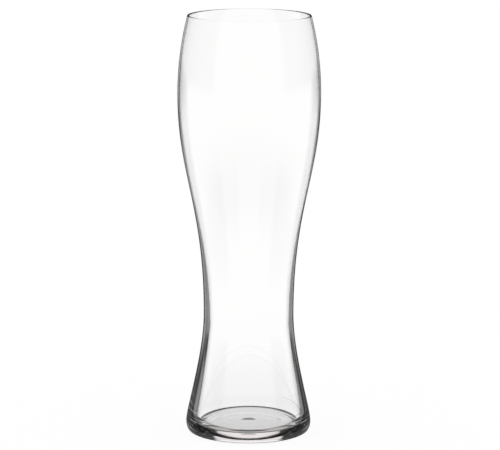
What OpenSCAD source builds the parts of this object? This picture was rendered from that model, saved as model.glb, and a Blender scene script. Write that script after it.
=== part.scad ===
// Tall, waisted half-litre glass for wheat beer, in clear glass.
// Millimetres, +Z up. The origin is on the table, at the centre of the ring that the glass stands on.
// Every surface is turned about +Z, so the glass is one half outline: up the outside, over the lip,
// down the inside and across the floor. The solid base and the thin wall meet on a flat ring.

/* [Glass] */
// Height from the table to the top of the lip
glass_height = 246; // [235:1:260]

/* [Outside] */
// Radius of the belly at its widest
belly_r = 41.7; // [39:0.1:45]
// Height of the widest part of the belly
belly_height = 200; // [190:1:208]
// Radius of the curve that turns the belly in towards the lip, seen from the side
shoulder_r = 185; // [140:5:260]
// Radius of the waist at its narrowest
waist_r = 26.4; // [24:0.1:29]
// Height of the waist
waist_height = 70.5; // [64:0.5:80]
// Radius of the foot at its widest
foot_r = 36.8; // [35.5:0.1:40]
// Height at which the foot is widest
foot_height = 5.3; // [3:0.1:7]
// Outer radius of the ring that the glass stands on
ring_outer_r = 34.4; // [33.7:0.1:35]

/* [Wall] */
// Thickness of the wall from the belly to the lip
belly_wall = 1.2; // [0.9:0.05:1.6]
// Difference in radius between the waist outside and the narrowest part of the hollow
waist_wall = 3; // [2.2:0.1:4]
// Height of the narrowest part of the hollow above the table
hollow_waist_height = 65; // [58:0.5:72]

/* [Base] */
// Height of the drink's floor above the table, at the edge of the floor
floor_height = 4.4; // [3.5:0.1:6]
// How much higher the floor stands at its centre
floor_rise = 0.5; // [0.1:0.1:1.5]
// Radius of the hollow where the wall leaves the floor's rounded corner
hollow_r = 30.9; // [29.5:0.1:32]
// Width of that rounded corner
corner_r = 5.8; // [4:0.1:8]
// Height of that rounded corner
corner_rise = 6.1; // [4:0.1:8]
// Height at which the solid base ends and the wall begins
seam_height = 12; // [10.5:0.5:16]

/* [Underside] */
// Width of the flat ring that the glass stands on
ring_width = 1.2; // [0.8:0.1:2]
// Depth of the hollow under the glass at its centre
punt_depth = 1.25; // [0.8:0.05:2]
// Radius of the small dimple at the centre of the underside
dimple_r = 5.6; // [4:0.1:8]
// Depth of that dimple
dimple_depth = 0.3; // [0.2:0.1:1]

/* [Hidden] */
$fn = 96;

// How straight each curve leaves its ends, as a share of the height between them
foot_leave_share = 0.114;
waist_below_share = 0.386;
waist_above_share = 0.502;
belly_below_share = 0.371;
hollow_above_share = 0.407;
hollow_belly_share = 0.319;
hollow_below_share = 0.239;
hollow_leave_share = 0.042;

// How many straight steps stand for each curve
heel_steps = 10;
foot_steps = 22;
flank_steps = 26;
shoulder_steps = 12;
lip_steps = 8;
corner_steps = 10;
floor_steps = 6;
punt_steps = 10;
dimple_steps = 5;

// How far a cutting shape reaches past what it cuts
overrun = 5;

lip_r = belly_wall / 2;
lip_height = glass_height - lip_r;
hollow_belly_r = belly_r - belly_wall;
hollow_waist_r = waist_r - waist_wall;
hollow_shoulder_r = shoulder_r - belly_wall;
ring_inner_r = ring_outer_r - ring_width;
corner_top = floor_height + corner_rise;
floor_r = hollow_r - corner_r;

// A point on a curve that leaves p0 towards p1 and reaches p3 from p2
function curve_point(p0, p1, p2, p3, t) =
    p0 * pow(1 - t, 3) + 3 * p1 * t * pow(1 - t, 2) + 3 * p2 * pow(t, 2) * (1 - t) + p3 * pow(t, 3);

// The curve's points after its first
function curve_after(p0, p1, p2, p3, steps) =
    [for (i = [1 : steps]) curve_point(p0, p1, p2, p3, i / steps)];

// A shoulder of the given radius, which starts upright at radius from_r, at a given height
function shoulder_point(from_r, curve_r, height) =
    [from_r - curve_r + sqrt(pow(curve_r, 2) - pow(height - belly_height, 2)), height];

// How far the dimple and the shallow dome that it sits in rise at radius r from the axis
function dome_rise(r) = punt_depth * (1 - pow(r / ring_inner_r, 2));
function dimple_rise(r) = r < dimple_r ? dimple_depth * pow(1 - pow(r / dimple_r, 2), 2) : 0;

function underside() = concat(
    [for (i = [0 : dimple_steps - 1]) let (r = dimple_r * i / dimple_steps) [r, dome_rise(r) + dimple_rise(r)]],
    [for (i = [0 : punt_steps]) let (r = dimple_r + (ring_inner_r - dimple_r) * i / punt_steps) [r, dome_rise(r)]]);

// The rounded heel, a quarter of an ellipse from the standing ring to the widest part of the foot
function heel() =
    [for (i = [0 : heel_steps]) let (a = 90 * i / heel_steps)
        [ring_outer_r + (foot_r - ring_outer_r) * sin(a), foot_height * (1 - cos(a))]];

function foot_to_waist() = let (rise = waist_height - foot_height) curve_after(
    [foot_r, foot_height],
    [foot_r, foot_height + rise * foot_leave_share],
    [waist_r, waist_height - rise * waist_below_share],
    [waist_r, waist_height],
    foot_steps);

function waist_to_belly() = let (rise = belly_height - waist_height) curve_after(
    [waist_r, waist_height],
    [waist_r, waist_height + rise * waist_above_share],
    [belly_r, belly_height - rise * belly_below_share],
    [belly_r, belly_height],
    flank_steps);

function outer_shoulder() =
    [for (i = [1 : shoulder_steps])
        shoulder_point(belly_r, shoulder_r, belly_height + (lip_height - belly_height) * i / shoulder_steps)];

// The lip, half a round as wide as the wall
function lip() = let (
    outer = shoulder_point(belly_r, shoulder_r, lip_height)[0],
    inner = shoulder_point(hollow_belly_r, hollow_shoulder_r, lip_height)[0])
    [for (i = [1 : lip_steps - 1]) let (a = 180 * i / lip_steps)
        [(outer + inner) / 2 + (outer - inner) / 2 * cos(a), lip_height + lip_r * sin(a)]];

function inner_shoulder() =
    [for (i = [shoulder_steps : -1 : 1])
        shoulder_point(hollow_belly_r, hollow_shoulder_r,
            belly_height + (lip_height - belly_height) * i / shoulder_steps)];

function hollow_belly_to_waist() = let (rise = belly_height - hollow_waist_height) concat(
    [[hollow_belly_r, belly_height]],
    curve_after(
        [hollow_belly_r, belly_height],
        [hollow_belly_r, belly_height - rise * hollow_belly_share],
        [hollow_waist_r, hollow_waist_height + rise * hollow_above_share],
        [hollow_waist_r, hollow_waist_height],
        flank_steps));

function hollow_waist_to_corner() = let (rise = hollow_waist_height - corner_top) curve_after(
    [hollow_waist_r, hollow_waist_height],
    [hollow_waist_r, hollow_waist_height - rise * hollow_below_share],
    [hollow_r, corner_top + rise * hollow_leave_share],
    [hollow_r, corner_top],
    foot_steps);

// The rounded corner, a quarter of an ellipse from the wall down to the floor
function corner() =
    [for (i = [1 : corner_steps]) let (a = 90 * i / corner_steps)
        [floor_r + corner_r * cos(a), floor_height + corner_rise * (1 - sin(a))]];

// The floor, which rises a little from the corner to the axis
function floor_dome() =
    [for (i = [floor_steps - 1 : -1 : 0]) let (share = i / floor_steps)
        [floor_r * share, floor_height + floor_rise * (1 - pow(share, 2))]];

function glass_outline() = concat(
    underside(), heel(), foot_to_waist(), waist_to_belly(), outer_shoulder(), lip(), inner_shoulder(),
    hollow_belly_to_waist(), hollow_waist_to_corner(), corner(), floor_dome());

// The solid bottom: standing ring, heel, underside and the floor with its rounded corner
module base() {
    color("lightsteelblue", 0.6)
        rotate_extrude()
            intersection() {
                polygon(glass_outline());
                translate([0, -overrun])
                    square([belly_r + overrun, seam_height + overrun]);
            }
}

// The wall: flared foot, waist, belly and lip
module bowl() {
    color("aliceblue", 0.35)
        rotate_extrude()
            intersection() {
                polygon(glass_outline());
                translate([0, seam_height])
                    square([belly_r + overrun, glass_height + overrun]);
            }
}

base();
bowl();
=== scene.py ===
import math

import bpy
from mathutils import Matrix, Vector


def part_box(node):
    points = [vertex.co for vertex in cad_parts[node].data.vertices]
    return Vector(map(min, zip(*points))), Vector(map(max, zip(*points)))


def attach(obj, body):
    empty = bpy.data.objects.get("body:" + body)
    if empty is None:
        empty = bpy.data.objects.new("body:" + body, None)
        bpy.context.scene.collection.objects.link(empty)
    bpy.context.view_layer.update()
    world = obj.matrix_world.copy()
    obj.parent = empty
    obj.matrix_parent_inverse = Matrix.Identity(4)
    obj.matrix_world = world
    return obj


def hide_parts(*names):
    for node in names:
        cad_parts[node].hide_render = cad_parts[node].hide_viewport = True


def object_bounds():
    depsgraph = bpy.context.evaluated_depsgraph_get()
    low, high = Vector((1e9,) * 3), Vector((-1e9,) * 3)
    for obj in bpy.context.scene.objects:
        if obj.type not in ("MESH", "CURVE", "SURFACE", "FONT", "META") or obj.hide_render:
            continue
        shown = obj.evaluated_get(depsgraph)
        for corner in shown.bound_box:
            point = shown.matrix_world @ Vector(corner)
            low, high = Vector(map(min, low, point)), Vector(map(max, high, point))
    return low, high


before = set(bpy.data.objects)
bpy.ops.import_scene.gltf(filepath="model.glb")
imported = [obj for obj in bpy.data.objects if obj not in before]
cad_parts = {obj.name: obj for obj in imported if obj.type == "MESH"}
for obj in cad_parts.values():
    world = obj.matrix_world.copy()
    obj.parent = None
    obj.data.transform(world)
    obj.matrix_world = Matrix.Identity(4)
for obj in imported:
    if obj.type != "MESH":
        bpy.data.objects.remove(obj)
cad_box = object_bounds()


# Base
# The heavy solid bottom of the glass, pressed in the mould with a shallow hollow under it, so that it
# stands on a narrow ring. It is clear glass, a few millimetres thick under the drink, with a rounded
# heel outside and a rounded corner inside, and its surface keeps the faint waves of the mould.

MM = 0.001
FOOT_R = 36.8 * MM
FOOT_HEIGHT = 5.3 * MM
FOOT_LEAVE = 7.5 * MM
SEAM_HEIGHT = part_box("base")[1].z
WAIST_R = 26.4 * MM
WAIST_HEIGHT = 70.5 * MM
WAIST_BELOW = 25.5 * MM
RING_OUTER_R = 34.4 * MM
RING_INNER_R = 33.2 * MM
PUNT_DEPTH = 1.25 * MM
DIMPLE_R = 5.6 * MM
DIMPLE_DEPTH = 0.22 * MM
RIDGE_R = 18.7 * MM
RIDGE_WIDTH = 0.8 * MM
RIDGE_DEPTH = 0.08 * MM
FLOOR_HEIGHT = 4.4 * MM
FLOOR_RISE = 0.5 * MM
CORNER_R = 5.8 * MM
CORNER_RISE = 6.1 * MM
CORNER_TOP = FLOOR_HEIGHT + CORNER_RISE
HOLLOW_R = 30.9 * MM
HOLLOW_LEAVE = 2.3 * MM
FLOOR_R = HOLLOW_R - CORNER_R
HOLLOW_WAIST_R = 23.4 * MM
HOLLOW_WAIST_HEIGHT = 65.0 * MM
HOLLOW_BELOW = 13.0 * MM
# the blown hollow stands a little off the axis of the foot, so one side of the wall is thicker
LEAN = 0.6 * MM
LEAN_START = 30 * MM
STEPS_AROUND = 384
HALVINGS = 50
NEAR_SHARE = 1e-4
GLASS_INDEX = 1.5
# a faint haze in patches of about 25 mm, which dims the glass in places and takes polish off in others
HAZE_PER_METRE = 40.0
HAZE_SHADE = 0.996
HAZE_EDGE = (0.55, 0.8)
HAZE_ROUGHNESS = 0.012


def curve(start, leave, reach, end, share):
    """A point on the curve that leaves start towards leave and comes to end from reach."""
    rest = 1 - share
    weights = (rest ** 3, 3 * rest ** 2 * share, 3 * rest * share ** 2, share ** 3)
    return tuple(sum(w * p[axis] for w, p in zip(weights, (start, leave, reach, end))) for axis in (0, 1))


def dimple(share):
    r = DIMPLE_R * share
    dome = PUNT_DEPTH * (1 - (r / RING_INNER_R) ** 2)
    return r, dome + DIMPLE_DEPTH * (1 - share ** 2) ** 2


def punt(share):
    r = DIMPLE_R + (RING_INNER_R - DIMPLE_R) * share
    ridge = RIDGE_DEPTH * math.exp(-((r - RIDGE_R) / RIDGE_WIDTH) ** 2)
    return r, PUNT_DEPTH * (1 - (r / RING_INNER_R) ** 2) + ridge


def standing_ring(share):
    return RING_INNER_R + (RING_OUTER_R - RING_INNER_R) * share, 0.0


def heel(share):
    angle = math.pi / 2 * share
    return RING_OUTER_R + (FOOT_R - RING_OUTER_R) * math.sin(angle), FOOT_HEIGHT * (1 - math.cos(angle))


def foot(share):
    """Up the outside of the foot, from the top of the heel to the waist."""
    return curve((FOOT_R, FOOT_HEIGHT), (FOOT_R, FOOT_HEIGHT + FOOT_LEAVE),
                 (WAIST_R, WAIST_HEIGHT - WAIST_BELOW), (WAIST_R, WAIST_HEIGHT), share)


def hollow_foot(share):
    """Down the inside of the foot, from the narrowest part of the hollow to the corner of the floor."""
    return curve((HOLLOW_WAIST_R, HOLLOW_WAIST_HEIGHT),
                 (HOLLOW_WAIST_R, HOLLOW_WAIST_HEIGHT - HOLLOW_BELOW),
                 (HOLLOW_R, CORNER_TOP + HOLLOW_LEAVE), (HOLLOW_R, CORNER_TOP), share)


def corner(share):
    angle = math.pi / 2 * share
    return FLOOR_R + CORNER_R * math.cos(angle), FLOOR_HEIGHT + CORNER_RISE * (1 - math.sin(angle))


def floor_of_drink(share):
    return FLOOR_R * (1 - share), FLOOR_HEIGHT + FLOOR_RISE * (1 - (1 - share) ** 2)


def share_at(line, height):
    """The share of a rising or falling line at which it passes a height."""
    low_share, high_share = (0, 1) if line(1)[1] > line(0)[1] else (1, 0)
    for _ in range(HALVINGS):
        middle = (low_share + high_share) / 2
        if line(middle)[1] < height:
            low_share = middle
        else:
            high_share = middle
    return middle


def stretch(line, steps, start=0, end=1):
    """Points along a line, each with the way that the surface faces there, square to the line."""
    points = []
    for i in range(steps + 1):
        share = start + (end - start) * i / steps
        r0, z0 = line(share - NEAR_SHARE)
        r1, z1 = line(share + NEAR_SHARE)
        length = math.hypot(r1 - r0, z1 - z0)
        r, z = line(share)
        points.append((max(r, 0.0), z, (z1 - z0) / length, (r0 - r1) / length))
    return points


def flat_stretch(start, end):
    """The two ends of a flat ring between two points at one height."""
    facing = math.copysign(1, start[0] - end[0])
    return [(start[0], start[1], 0.0, facing), (end[0], end[1], 0.0, facing)]


def lean_at(height):
    """How far the hollow stands to one side at a height: most in the foot, and none at the lip."""
    share = min(1, max(0, height / cad_box[1][2]))
    return LEAN * (1 - share) ** 2 * math.sin(min(1, height / LEAN_START) * math.pi / 2)


def turned_body(name, outline):
    """A closed body turned about +Z from its half outline, a list of stretches with what each one is:
    outside, hollow, which leans to one side, or seam, which takes the second material."""
    first_kind, first_points = outline[0]
    rings, bands = [(*first_points[0][:2], first_kind == "hollow")], []
    for kind, points in outline:
        for start, end in zip(points, points[1:]):
            rings.append((*end[:2], kind == "hollow"))
            bands.append((len(rings) - 2, len(rings) - 1, start[2:], end[2:], int(kind == "seam")))
    if rings[-1][:2] == rings[0][:2]:
        rings.pop()
        bands[-1] = (bands[-1][0], 0, *bands[-1][2:])
    angles = [2 * math.pi * i / STEPS_AROUND for i in range(STEPS_AROUND)]
    vertices, first = [], []
    for r, z, leans in rings:
        first.append(len(vertices))
        side = lean_at(z) if leans else 0.0
        around = angles if r > 0 else angles[:1]
        vertices += [(side + r * math.cos(a), r * math.sin(a), z) for a in around]
    polygons, normals, materials = [], [], []
    for one, two, facing_one, facing_two, material in bands:
        for i in range(STEPS_AROUND):
            n = (i + 1) % STEPS_AROUND
            corners = [(one, i, facing_one), (one, n, facing_one),
                       (two, n, facing_two), (two, i, facing_two)]
            if rings[one][0] == 0:
                corners = [(one, 0, facing_one)] + corners[2:]
            elif rings[two][0] == 0:
                corners = corners[:2] + [(two, 0, facing_two)]
            polygons.append([first[ring] + place for ring, place, _ in corners])
            normals += [(across * math.cos(angles[place]), across * math.sin(angles[place]), up)
                        for _, place, (across, up) in corners]
            materials.append(material)
    mesh = bpy.data.meshes.new(name)
    mesh.from_pydata(vertices, [], polygons)
    mesh.polygons.foreach_set("material_index", materials)
    mesh.polygons.foreach_set("use_smooth", [True] * len(polygons))
    mesh.normals_split_custom_set(normals)
    piece = bpy.data.objects.new(name, mesh)
    bpy.context.scene.collection.objects.link(piece)
    return piece


class Value:
    """What comes out of a shader node, so that sums of such values are written as sums."""

    def __init__(self, shader, socket):
        self.shader = shader
        self.socket = socket

    def result(self, operation, first, second):
        return self.shader.add("ShaderNodeMath", {"operation": operation}, {0: first, 1: second})

    def __add__(self, other):
        return self.result("ADD", self, other)

    def __radd__(self, other):
        return self.result("ADD", other, self)

    def __sub__(self, other):
        return self.result("SUBTRACT", self, other)

    def __rsub__(self, other):
        return self.result("SUBTRACT", other, self)

    def __mul__(self, other):
        return self.result("MULTIPLY", self, other)

    def __rmul__(self, other):
        return self.result("MULTIPLY", other, self)

    def __truediv__(self, other):
        return self.result("DIVIDE", self, other)

    def above(self, limit):
        """1 where it is above a limit, and 0 elsewhere."""
        return self.result("GREATER_THAN", self, limit)

    def at_least(self, count):
        """1 where a whole number reaches a count, and 0 elsewhere."""
        return self.above(count - 0.5)

    def arctan2(self, other):
        """The angle whose tangent is this over another, all the way round."""
        return self.result("ARCTAN2", self, other)

    def pingpong(self, limit):
        """Folded so that it goes up to a limit and back down."""
        return self.result("PINGPONG", self, limit)

    def ramp(self, span, first=0, last=1):
        """A soft change from first to last while it crosses a span."""
        return self.shader.add("ShaderNodeMapRange", {"interpolation_type": "SMOOTHSTEP"}, {
            "Value": self, "From Min": span[0], "From Max": span[1], "To Min": first, "To Max": last})

    def beside(self, output):
        """Another output of the same node."""
        return Value(self.shader, self.socket.node.outputs[output])


class Shader:
    """The nodes of a material or of the world."""

    def __init__(self, owner):
        owner.use_nodes = True
        self.tree = owner.node_tree
        self.tree.nodes.clear()

    def add(self, kind, settings=None, values=None, output=0):
        """A node of a kind, with its settings set first and then its sockets, each to a value or a link."""
        node = self.tree.nodes.new(kind)
        for name, setting in (settings or {}).items():
            setattr(node, name, setting)
        for name, value in (values or {}).items():
            if isinstance(value, Value):
                self.tree.links.new(value.socket, node.inputs[name])
            else:
                node.inputs[name].default_value = value
        return Value(self, node.outputs[output]) if len(node.outputs) else None


def clear_glass(name, tint, wave_size, wave_depth):
    """Fire-polished clear glass whose surface has shallow waves of a size and depth."""
    material = bpy.data.materials.new(name)
    shader = Shader(material)
    place = shader.add("ShaderNodeTexCoord", output="Object")
    waves = shader.add("ShaderNodeTexNoise", None,
                       {"Vector": place, "Scale": 1 / wave_size, "Detail": 2.0, "Roughness": 0.5})
    bump = shader.add("ShaderNodeBump", None, {"Strength": 1.0, "Distance": wave_depth, "Height": waves})
    haze = shader.add("ShaderNodeTexNoise", None, {"Vector": place, "Scale": HAZE_PER_METRE, "Detail": 3.0})
    shade = shader.add("ShaderNodeMapRange", None, {"Value": haze, "To Min": HAZE_SHADE, "To Max": 1.0})
    colour = shader.add("ShaderNodeMix", {"data_type": "RGBA", "blend_type": "MULTIPLY"},
                        {"Factor": 1.0, "A": (*tint, 1.0), "B": shade}, output="Result")
    polish = shader.add("ShaderNodeMapRange", None, {
        "Value": haze, "From Min": HAZE_EDGE[0], "From Max": HAZE_EDGE[1],
        "To Min": 0.0, "To Max": HAZE_ROUGHNESS})
    glass = shader.add("ShaderNodeBsdfPrincipled", None, {
        "Base Color": colour, "Roughness": polish, "IOR": GLASS_INDEX,
        "Transmission Weight": 1.0, "Normal": bump})
    shader.add("ShaderNodeOutputMaterial", None, {"Surface": glass})
    return material


def seam_material():
    """The seam between base and wall is not a surface in the real glass, so nothing of it is seen."""
    material = bpy.data.materials.new("seam_inside_the_glass")
    shader = Shader(material)
    nothing = shader.add("ShaderNodeBsdfTransparent")
    shader.add("ShaderNodeOutputMaterial", None, {"Surface": nothing})
    return material


foot_seam = share_at(foot, SEAM_HEIGHT)
hollow_seam = share_at(hollow_foot, SEAM_HEIGHT)
base = turned_body("glass_base", [
    ("outside", stretch(dimple, steps=12)),
    ("outside", stretch(punt, steps=70)),
    ("outside", stretch(standing_ring, steps=2)),
    ("outside", stretch(heel, steps=24)),
    ("outside", stretch(foot, steps=14, end=foot_seam)),
    ("seam", flat_stretch(foot(foot_seam), hollow_foot(hollow_seam))),
    ("hollow", stretch(hollow_foot, steps=8, start=hollow_seam)),
    ("hollow", stretch(corner, steps=28)),
    ("hollow", stretch(floor_of_drink, steps=24)),
])
seam = seam_material()
base_glass = clear_glass("base_glass", tint=(0.998, 0.998, 1.0), wave_size=9 * MM, wave_depth=0.006 * MM)
base.data.materials.append(base_glass)
base.data.materials.append(seam)
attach(base, "root")
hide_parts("base")


# Bowl
# The wall that is drawn up from the base by blowing: it narrows from the foot to the waist, swells to
# the belly and turns in a little to the lip, and thins all the way from several millimetres to about
# one. The lip is cut and melted round by fire.

BELLY_R = 41.7 * MM
BELLY_HEIGHT = 200 * MM
BELLY_BELOW = 48 * MM
BELLY_WALL = 1.2 * MM
WAIST_ABOVE = 65 * MM
SHOULDER_R = 185 * MM
GLASS_HEIGHT = 246 * MM
LIP_R = BELLY_WALL / 2
LIP_HEIGHT = GLASS_HEIGHT - LIP_R
HOLLOW_BELLY_R = BELLY_R - BELLY_WALL
HOLLOW_BELLY_BELOW = 43 * MM
HOLLOW_ABOVE = 55 * MM


def flank(share):
    """Up the outside from the waist to the belly."""
    return curve((WAIST_R, WAIST_HEIGHT), (WAIST_R, WAIST_HEIGHT + WAIST_ABOVE),
                 (BELLY_R, BELLY_HEIGHT - BELLY_BELOW), (BELLY_R, BELLY_HEIGHT), share)


def shoulder(share):
    """Up the outside from the belly to the lip."""
    rise = (LIP_HEIGHT - BELLY_HEIGHT) * share
    return BELLY_R - SHOULDER_R + math.sqrt(SHOULDER_R ** 2 - rise ** 2), BELLY_HEIGHT + rise


def hollow_shoulder(share):
    """Down the inside from the lip to the belly."""
    rise = (LIP_HEIGHT - BELLY_HEIGHT) * (1 - share)
    inner = SHOULDER_R - BELLY_WALL
    return BELLY_R - SHOULDER_R + math.sqrt(inner ** 2 - rise ** 2), BELLY_HEIGHT + rise


def lip(share):
    outer, inner = shoulder(1)[0], hollow_shoulder(0)[0]
    angle = math.pi * share
    r = (outer + inner) / 2 + (outer - inner) / 2 * math.cos(angle)
    return r, LIP_HEIGHT + LIP_R * math.sin(angle)


def hollow_flank(share):
    """Down the inside from the belly to the narrowest part of the hollow."""
    return curve((HOLLOW_BELLY_R, BELLY_HEIGHT), (HOLLOW_BELLY_R, BELLY_HEIGHT - HOLLOW_BELLY_BELOW),
                 (HOLLOW_WAIST_R, HOLLOW_WAIST_HEIGHT + HOLLOW_ABOVE),
                 (HOLLOW_WAIST_R, HOLLOW_WAIST_HEIGHT), share)


bowl = turned_body("glass_bowl", [
    ("outside", stretch(foot, steps=44, start=foot_seam)),
    ("outside", stretch(flank, steps=60)),
    ("outside", stretch(shoulder, steps=22)),
    ("outside", stretch(lip, steps=12)),
    ("hollow", stretch(hollow_shoulder, steps=22)),
    ("hollow", stretch(hollow_flank, steps=60)),
    ("hollow", stretch(hollow_foot, steps=34, end=hollow_seam)),
    ("seam", flat_stretch(hollow_foot(hollow_seam), foot(foot_seam))),
])
bowl_glass = clear_glass("bowl_glass", tint=(1.0, 0.999, 0.998), wave_size=30 * MM, wave_depth=0.004 * MM)
bowl.data.materials.append(bowl_glass)
bowl.data.materials.append(seam)
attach(bowl, "root")
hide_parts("bowl")


# Floor
# A wide white table, plain and pale, which keeps a faint shadow of the glass. Where it is seen through the
# thick base it is a little darker with a painted shadow, and under and beside the foot to the left and
# right it is dark with painted shade. Light that the glass throws back, or bends down through the edge of
# its base, goes on through the table into the room.

TABLE_HALF = 6.0
TABLE_DROP = 0.1 * MM
TABLE_SIDES = ((-1, -1), (1, -1), (1, 1), (-1, 1))
PAINT = (0.9, 0.9, 0.9, 1.0)
PAINT_SHARE = 0.12
WHITE = (1.0, 1.0, 1.0, 1.0)
# levels of light, where 1 is white, for the glow, the painted shadow under and around the base,
# the painted shade beside the foot and light lost in the glass
GLOW_LEVEL = 1.014
UNDER_SHADOW_LEVEL = 0.69
AROUND_SHADOW_LEVEL = 0.93
SHADE_LEVEL = 0.06
LOST_LEVEL = 0.03
# distances from the axis over which the table, its painted shadow and its painted shade change
FOOT_EDGE = (RING_INNER_R, FOOT_R)
AROUND_EDGE = (60 * MM, 200 * MM)
SHADE_START = (20 * MM, 28 * MM)
NEAR_R = 150 * MM
# how far to the side the painted shade starts: the square of the sine of the angle from front or back
SHADE_SIDES = (0.09, 0.2)


def light_paths(shader):
    """How light came by way of the glass, each 1 or 0: thrown back by its outside, through two surfaces,
    through more, turned back on its way, or lost after too many turns."""
    turns = shader.add("ShaderNodeLightPath", output="Glossy Depth")
    surfaces = turns.beside("Transmission Depth")
    through = surfaces.at_least(1)
    more = surfaces.at_least(3)
    lost = turns.at_least(5)
    turned = turns.at_least(1) - lost
    return (1 - through) * turned, through - more, more, turned, lost


table_mesh = bpy.data.meshes.new("table")
table_corners = [(x * TABLE_HALF, y * TABLE_HALF, -TABLE_DROP) for x, y in TABLE_SIDES]
table_mesh.from_pydata(table_corners, [], [(0, 1, 2, 3)])
table = bpy.data.objects.new("table", table_mesh)
bpy.context.scene.collection.objects.link(table)
table_material = bpy.data.materials.new("white_table")
table_shader = Shader(table_material)
outside, two, more, turned, lost = light_paths(table_shader)
place = table_shader.add("ShaderNodeNewGeometry")
from_axis = table_shader.add("ShaderNodeVectorMath", {"operation": "LENGTH"}, {0: place}, output="Value")
east = table_shader.add("ShaderNodeSeparateXYZ", None, {0: place})
near = 1 - from_axis.above(NEAR_R)
straight_on = (two * (1 - turned) + outside) * near
# painted shade on the table under and beside the foot to the left and right, from about 20 mm out
painted_side_shade = (east * east / (from_axis * from_axis)).ramp(SHADE_SIDES) * from_axis.ramp(SHADE_START)
# painted shadow on the table where it is seen through the base: darkest under the foot, a little dark
# around it, gone by 200 mm
painted_shadow_through_base = from_axis.ramp(FOOT_EDGE, UNDER_SHADOW_LEVEL, AROUND_SHADOW_LEVEL) \
    + from_axis.ramp(AROUND_EDGE, 0, 1 - AROUND_SHADOW_LEVEL)
plain = (1 - lost) * (1 - more * (1 - painted_shadow_through_base)) * GLOW_LEVEL + lost * LOST_LEVEL
strength = plain * (1 - straight_on * painted_side_shade * (1 - SHADE_LEVEL))
painted = table_shader.add("ShaderNodeBsdfDiffuse", None, {"Color": PAINT})
glow = table_shader.add("ShaderNodeEmission", None, {"Color": WHITE, "Strength": strength})
white = table_shader.add("ShaderNodeMixShader", None, {0: PAINT_SHARE, 1: glow, 2: painted})
gone = table_shader.add("ShaderNodeBsdfTransparent")
let_through = outside * (1 - near) + two * turned + straight_on * (1 - painted_side_shade)
shown = table_shader.add("ShaderNodeMixShader", None, {0: let_through, 1: white, 2: gone})
table_shader.add("ShaderNodeOutputMaterial", None, {"Surface": shown})
table_mesh.materials.append(table_material)


# Light
# A white room lights the glass evenly from all sides and is seen straight through it. What the glass
# reflects, outside or inside its wall, is the studio: white in front, a window behind, and dark cards
# behind and to the sides, which give clear glass its dark outline.

# levels of light, where 1 is white
WINDOW_LEVEL = 0.8
WINDOW_END_SHARE = 0.1
STREAK_LEVEL = 0.17
PALE_LEVEL = 0.38
DARK_LEVEL = 0.03
CEILING_LEVEL = 0.58
BELOW_LEVEL = 0.05
CARD_LEVEL = 0.06
WARM_WHITE = (1.0, 0.95, 0.94, 1.0)
# degrees to the left or right of straight behind or in front
WINDOW_SIDE = (21, 25)
STREAK_START = (29, 34)
STREAK_END = (45, 49)
BELOW_SIDE = (18, 26)
# heights, from -1 straight down through 0 level to 1 straight up
WINDOW_FOOT = (-0.25, -0.05)
WINDOW_HEAD = (0.35, 0.5)
STREAK_HEAD = (-0.2, -0.15)
PALE_FOOT = (-0.97, -0.88)
PALE_HEAD = (-0.7, -0.55)
CEILING_EDGE = (0, 0.3)
LEVEL_CARD_FOOT = (-0.2, -0.1)
LEVEL_CARD_HEAD = (-0.09, -0.03)
LOW_CARD_HEAD = (-0.6, -0.4)
WIDE_CARD_FOOT = (-0.42, -0.34)
FRONT_FOOT = (-0.8, -0.7)
FRONT_HEAD = (0.6, 0.75)
SIDE_FOOT = (-0.5, -0.35)
SIDE_HEAD = (-0.12, -0.04)
# how far behind the glass, from -1 straight in front to 1 straight behind
BACK_CARD_EDGE = (0.84, 0.92)
WIDE_CARD_EDGE = (0.4, 0.6)
NARROW_CARD_EDGE = (0.7, 0.82)
FRONT_EDGE = (-0.6, -0.4)

room = bpy.data.worlds.new("white_room")
bpy.context.scene.world = room
light = Shader(room)
outside, two, more, turned, lost = light_paths(light)
direction = light.add("ShaderNodeTexCoord", output="Generated")
east = light.add("ShaderNodeSeparateXYZ", None, {0: direction})
north, up = east.beside(1), east.beside(2)
bearing = east.arctan2(north)
aside = bearing.pingpong(math.pi / 2) * math.degrees(1)

# turned back inside the wall: a window, a low streak beside it and a pale patch far down, in the dark
window = aside.ramp(WINDOW_SIDE, WINDOW_LEVEL, 0) \
    * up.ramp(WINDOW_FOOT, WINDOW_END_SHARE, 1) * up.ramp(WINDOW_HEAD, 1, WINDOW_END_SHARE)
streak = (aside.ramp(STREAK_START) - aside.ramp(STREAK_END)) * up.ramp(STREAK_HEAD, STREAK_LEVEL, 0)
pale = up.ramp(PALE_FOOT) * up.ramp(PALE_HEAD, PALE_LEVEL, 0)
studio = window + streak + pale + DARK_LEVEL
# it shows behind the glass, and elsewhere apart from the white front and a white strip below level
wide = up.ramp(WIDE_CARD_FOOT)
behind = north.ramp(NARROW_CARD_EDGE) * (1 - wide) + north.ramp(WIDE_CARD_EDGE) * wide
in_front = north.ramp(FRONT_EDGE, 1, 0) * up.ramp(FRONT_FOOT) * up.ramp(FRONT_HEAD, 1, 0)
open_side = 1 - (1 - in_front) * (1 - up.ramp(SIDE_FOOT) * up.ramp(SIDE_HEAD, 1, 0))
inside = two * turned * (1 - (1 - behind) * open_side)

# straight through one edge of the glass: white behind and in front, and dark to the sides
scattered = light.add("ShaderNodeLightPath", output="Diffuse Depth").at_least(1)
straight = two * (1 - turned - lost) * (1 - scattered)
underneath = aside.ramp(BELOW_SIDE, 1, BELOW_LEVEL)

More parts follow.
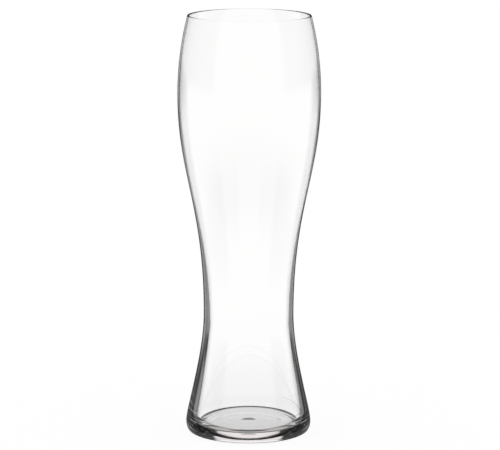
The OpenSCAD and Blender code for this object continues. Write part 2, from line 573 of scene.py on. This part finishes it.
# thrown back by the outside: a card right behind, a wider one just below level, and low ones at the sides
level_card = up.ramp(LEVEL_CARD_FOOT) * up.ramp(LEVEL_CARD_HEAD, 1, 0) * north.ramp(WIDE_CARD_EDGE)
low_card = up.ramp(LOW_CARD_HEAD, 1, 0) * (1 - underneath)
no_card = (1 - north.ramp(BACK_CARD_EDGE)) * (1 - level_card) * (1 - low_card)
carded = outside * (1 - no_card)

# turned back on a way through three surfaces or more, as in the base: a ceiling, darker overhead
thrown_up = more * turned
ceiling = up.ramp(CEILING_EDGE, 1, CEILING_LEVEL)

level = (1 - lost - carded - inside - thrown_up - straight) + lost * LOST_LEVEL + carded * CARD_LEVEL \
    + inside * studio + thrown_up * ceiling + straight * underneath
colour = light.add("ShaderNodeMix", {"data_type": "RGBA"},
                   {"Factor": inside, "A": WHITE, "B": WARM_WHITE}, output="Result")
sky = light.add("ShaderNodeBackground", None, {"Color": colour, "Strength": level})
light.add("ShaderNodeOutputWorld", None, {"Surface": sky})


# Camera
# A long lens a metre and a half away looks down on the foot by about fifteen degrees. It is rolled by a
# sixth of a degree, which sets the glass as upright as it stands in the photo.

IMAGE_WIDTH = 500
FOCAL_PIXELS = 2693.38
SENSOR_WIDTH = 36
CAMERA_PLACE = (0.00067, -1.550187, 0.411218)
CAMERA_PITCH = 0.184
CAMERA_ROLL = 0.0030
VIEW_END = 50
# enough bounces for light that runs round inside the thick base
BOUNCES = 32

camera_data = bpy.data.cameras.new("camera")
camera_data.sensor_width = SENSOR_WIDTH
camera_data.lens = FOCAL_PIXELS / IMAGE_WIDTH * SENSOR_WIDTH
camera_data.clip_end = VIEW_END
camera = bpy.data.objects.new("camera", camera_data)
bpy.context.scene.collection.objects.link(camera)
camera.matrix_world = (Matrix.Translation(CAMERA_PLACE)
                       @ Matrix.Rotation(math.pi / 2 - CAMERA_PITCH, 4, "X")
                       @ Matrix.Rotation(CAMERA_ROLL, 4, "Z"))
scene = bpy.context.scene
scene.camera = camera
scene.view_settings.view_transform = "Standard"
scene.cycles.max_bounces = BOUNCES
scene.cycles.glossy_bounces = BOUNCES
scene.cycles.transmission_bounces = BOUNCES
scene.cycles.transparent_max_bounces = BOUNCES
